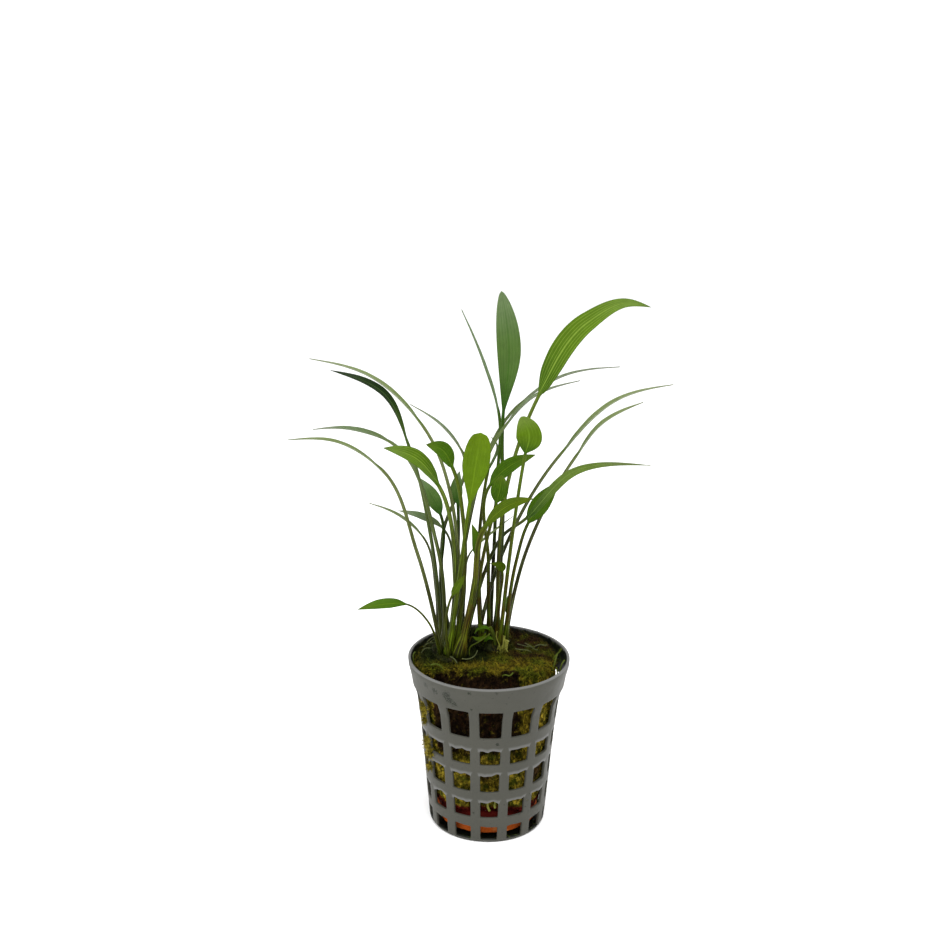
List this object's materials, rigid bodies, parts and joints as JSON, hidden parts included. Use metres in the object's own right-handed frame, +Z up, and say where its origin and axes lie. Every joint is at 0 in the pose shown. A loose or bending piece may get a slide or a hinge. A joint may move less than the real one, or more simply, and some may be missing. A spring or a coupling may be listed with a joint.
{
  "type": "potted cryptocoryne",
  "caption": "Narrow-leaved water plant with long arching leaves, rooted in a mossy rock wool plug inside a round lattice pot.",
  "frame": {"origin": "middle of the flat underside of the pot", "axes": "+Z up along the pot's axis, -Y towards the side that the picture shows, +X to the right in the picture"},
  "size_m": [0.1191, 0.0583, 0.1753],
  "materials": {
    "pot": "satin",
    "clay": "matte",
    "wool": "matte",
    "crown": "matte",
    "leaf": "satin"
  },
  "bodies": {
    "root": {"pot": "pot", "clay_disc": "clay", "rock_wool": "wool", "crown_left": "crown", "crown_right": "crown", "leaf_tall_middle": "leaf", "leaf_tall_thin": "leaf", "leaf_high_right": "leaf", "leaf_right_arch_upper": "leaf", "leaf_right_arch_lower": "leaf", "leaf_right_dark": "leaf", "leaf_right_cupped": "leaf", "leaf_right_pointed": "leaf", "leaf_right_small": "leaf", "leaf_hooked": "leaf", "leaf_young_curled": "leaf", "leaf_back_right_long": "leaf", "leaf_back_right_short": "leaf", "leaf_right_low_arch": "leaf", "leaf_front_olive": "leaf", "leaf_front_bright": "leaf", "leaf_left_small_upper": "leaf", "leaf_left_front_broad": "leaf", "leaf_left_back_broad": "leaf", "leaf_middle_dark": "leaf", "leaf_back_left_bent": "leaf", "leaf_left_long": "leaf", "leaf_left_dark": "leaf", "leaf_left_arch": "leaf", "leaf_far_left": "leaf", "leaf_left_thin": "leaf", "leaf_left_narrow": "leaf", "leaf_left_low": "leaf", "leaf_young_front": "leaf", "leaf_young_middle": "leaf", "leaf_young_thin": "leaf"}
  },
  "joints": []
}
